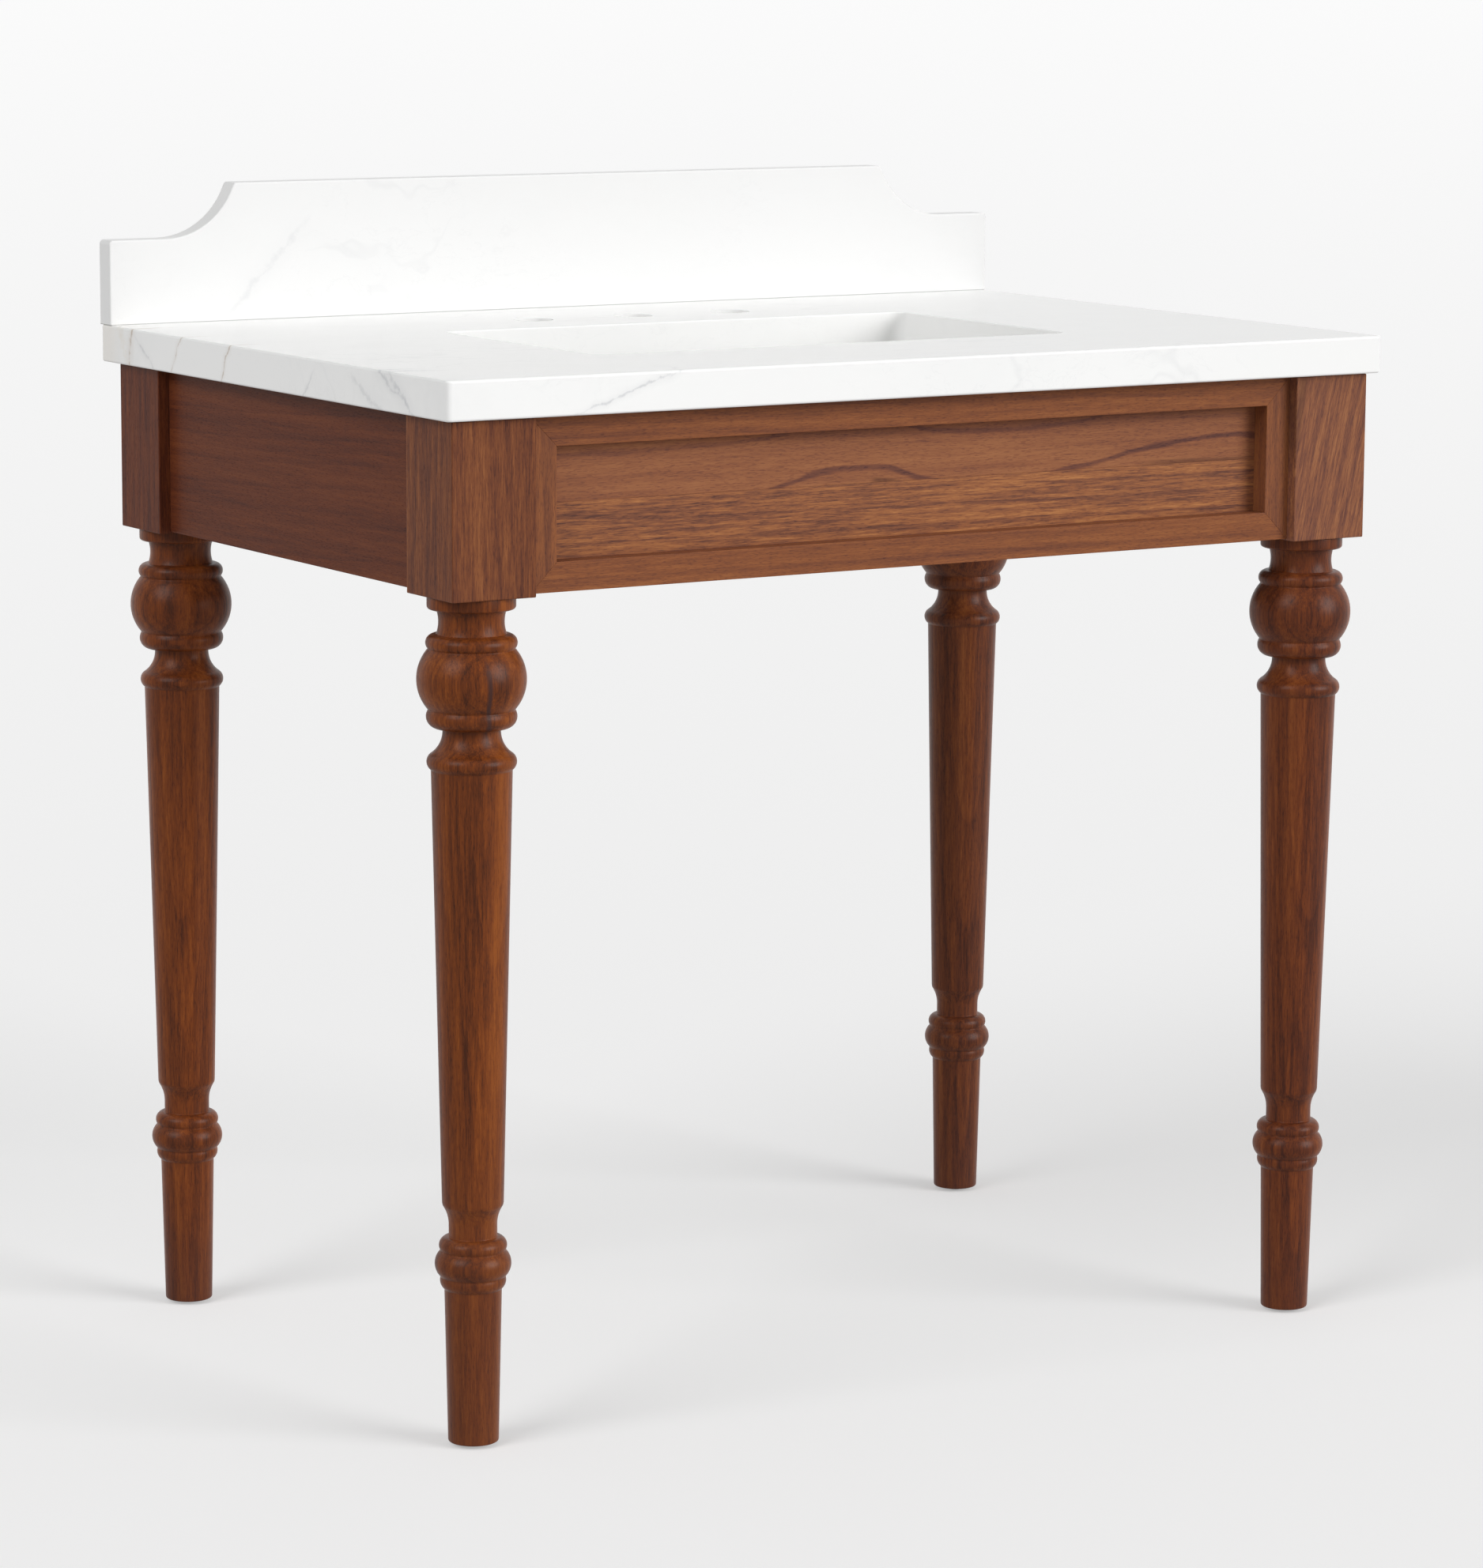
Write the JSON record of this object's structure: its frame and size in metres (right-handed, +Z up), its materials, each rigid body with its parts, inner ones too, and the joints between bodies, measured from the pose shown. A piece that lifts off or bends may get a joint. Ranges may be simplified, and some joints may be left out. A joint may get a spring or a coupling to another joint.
{
  "type": "console vanity",
  "caption": "Console bathroom vanity: veined marble top with a scooped backsplash and undermount basin on a walnut frame with turned legs and screw levellers.",
  "frame": {"origin": "on the floor, under the middle of the marble top", "axes": "+X towards the right-hand side as one stands in front, -Y out of the front, +Y into the wall, +Z up"},
  "size_m": [0.914, 0.622, 0.984],
  "materials": {
    "marble": "polished white with grey and warm brown veins",
    "basin_glaze": "gloss white glaze",
    "walnut": "reddish brown satin lacquer, grain along each piece",
    "beech": "plain, unlacquered",
    "zinc_steel": "bright zinc plate",
    "brass": "machined",
    "sealant": "matt grey",
    "glide_black": "matt black"
  },
  "bodies": {
    "vanity": {"marble_top": "marble", "marble_backsplash": "marble", "sink_basin": "basin_glaze", "basin_gasket": "sealant", "sink_clips": "zinc_steel", "sink_clip_studs": "zinc_steel", "sink_clip_nuts": "zinc_steel", "side_apron_left": "walnut", "side_apron_right": "walnut", "back_apron": "walnut", "front_stile_left": "walnut", "front_stile_right": "walnut", "front_rail_bottom": "walnut", "front_rail_top": "walnut", "front_panel_lower": "walnut", "front_panel_upper": "walnut", "frame_dowels": "beech", "glue_blocks": "beech", "cleat_left": "beech", "cleat_right": "beech", "cleat_front": "beech", "cleat_back": "beech", "cleat_screws": "brass", "leg_hanger_bolts": "zinc_steel", "post_bolt_inserts": "brass", "leveller_inserts": "brass", "bedding_left": "sealant", "bedding_right": "sealant", "bedding_front": "sealant", "bedding_back": "sealant", "post_front_left": "walnut", "leg_front_left": "walnut", "post_front_right": "walnut", "leg_front_right": "walnut", "post_back_left": "walnut", "leg_back_left": "walnut", "post_back_right": "walnut", "leg_back_right": "walnut"},
    "glide_front_left": {"glide_front_left": "glide_black"},
    "leveller_stem_front_left": {"leveller_stem_front_left": "zinc_steel"},
    "glide_front_right": {"glide_front_right": "glide_black"},
    "leveller_stem_front_right": {"leveller_stem_front_right": "zinc_steel"},
    "glide_back_left": {"glide_back_left": "glide_black"},
    "leveller_stem_back_left": {"leveller_stem_back_left": "zinc_steel"},
    "glide_back_right": {"glide_back_right": "glide_black"},
    "leveller_stem_back_right": {"leveller_stem_back_right": "zinc_steel"}
  },
  "joints": [
    {"name": "leveller_slide_front_left", "type": "slide", "parent": "vanity", "child": "glide_front_left", "axis": [0, 0, -1], "range_m": [0, 0.012]},
    {"name": "leveller_screw_front_left", "type": "hinge", "parent": "glide_front_left", "child": "leveller_stem_front_left", "pos_m": [-0.4105, -0.2645, 0.02], "axis": [0, 0, -1], "range_deg": [0, 3456]},
    {"name": "leveller_slide_front_right", "type": "slide", "parent": "vanity", "child": "glide_front_right", "axis": [0, 0, -1], "range_m": [0, 0.012]},
    {"name": "leveller_screw_front_right", "type": "hinge", "parent": "glide_front_right", "child": "leveller_stem_front_right", "pos_m": [0.4105, -0.2645, 0.02], "axis": [0, 0, -1], "range_deg": [0, 3456]},
    {"name": "leveller_slide_back_left", "type": "slide", "parent": "vanity", "child": "glide_back_left", "axis": [0, 0, -1], "range_m": [0, 0.012]},
    {"name": "leveller_screw_back_left", "type": "hinge", "parent": "glide_back_left", "child": "leveller_stem_back_left", "pos_m": [-0.4105, 0.2545, 0.02], "axis": [0, 0, -1], "range_deg": [0, 3456]},
    {"name": "leveller_slide_back_right", "type": "slide", "parent": "vanity", "child": "glide_back_right", "axis": [0, 0, -1], "range_m": [0, 0.012]},
    {"name": "leveller_screw_back_right", "type": "hinge", "parent": "glide_back_right", "child": "leveller_stem_back_right", "pos_m": [0.4105, 0.2545, 0.02], "axis": [0, 0, -1], "range_deg": [0, 3456]}
  ],
  "couplings": [
    {"joint": "leveller_screw_front_left", "follows": "leveller_slide_front_left", "rad_per_m": 5026.5},
    {"joint": "leveller_screw_front_right", "follows": "leveller_slide_front_right", "rad_per_m": 5026.5},
    {"joint": "leveller_screw_back_left", "follows": "leveller_slide_back_left", "rad_per_m": 5026.5},
    {"joint": "leveller_screw_back_right", "follows": "leveller_slide_back_right", "rad_per_m": 5026.5}
  ]
}
